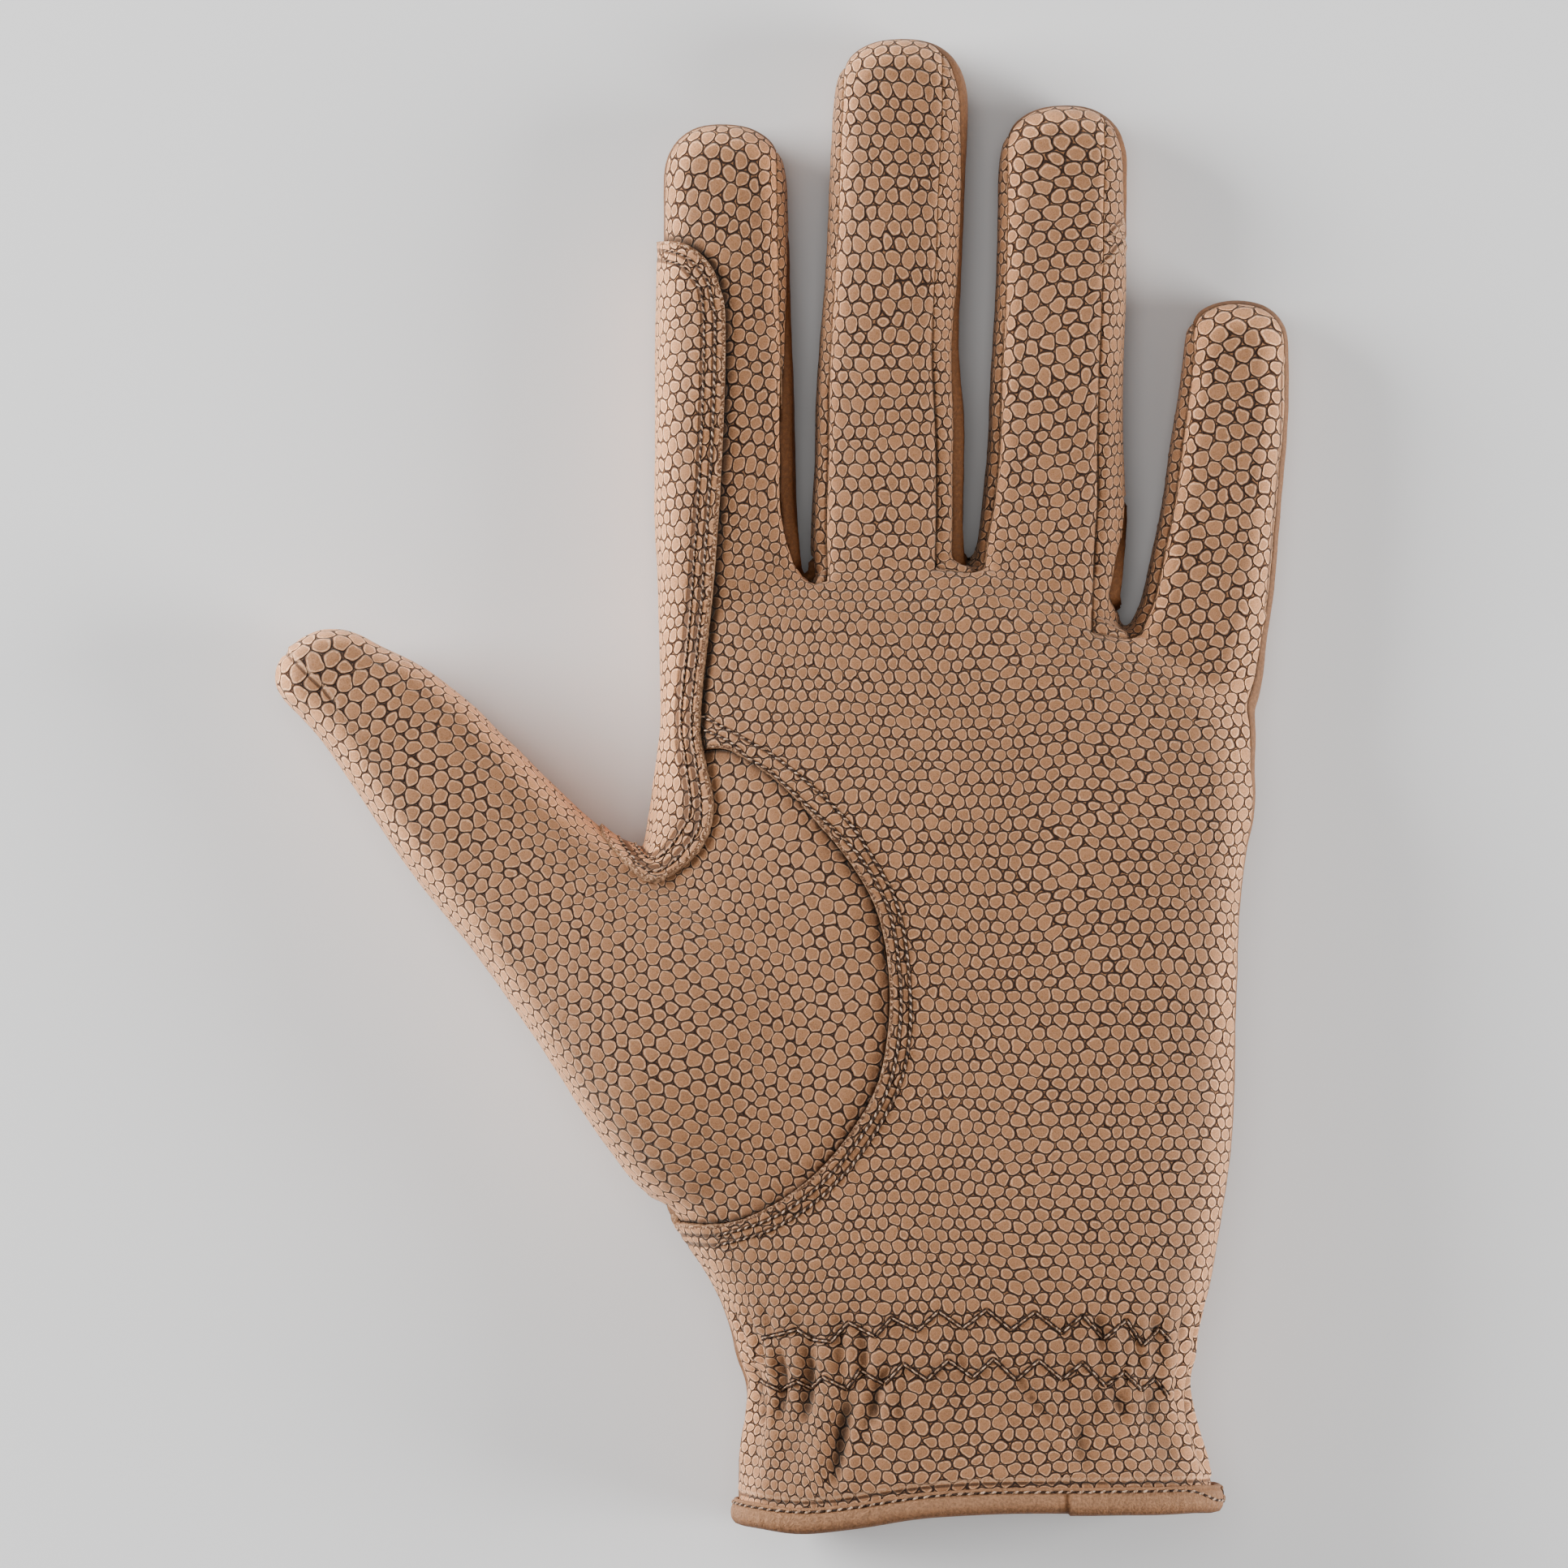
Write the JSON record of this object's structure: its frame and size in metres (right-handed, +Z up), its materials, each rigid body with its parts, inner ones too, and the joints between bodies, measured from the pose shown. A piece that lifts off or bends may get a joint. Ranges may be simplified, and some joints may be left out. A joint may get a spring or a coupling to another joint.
{
  "type": "horse riding glove",
  "caption": "Left-hand riding glove of scale-embossed synthetic leather, palm up, with an index grip patch, an inset thumb, finger gussets, a gathered wrist and a bound cuff.",
  "frame": {"origin": "under the middle of the glove's bounding box, on the surface that the glove lies on", "axes": "+Z up out of the palm, +Y from the cuff to the fingertips, +X from the thumb to the little finger"},
  "size_m": [0.1564, 0.23, 0.0349],
  "materials": {
    "scaled_leather": "tan synthetic leather embossed with a reptile scale grain, satin",
    "smooth_leather": "smooth tan synthetic leather with a fine grain, satin",
    "binding": "smooth light tan leather binding, satin"
  },
  "bodies": {
    "root": {"palm_panel": "scaled_leather", "back_panel": "smooth_leather", "thumb": "scaled_leather", "gusset_index_middle": "scaled_leather", "gusset_middle_ring": "scaled_leather", "gusset_ring_little": "scaled_leather", "index_patch": "scaled_leather", "cuff_binding": "binding"}
  },
  "joints": []
}
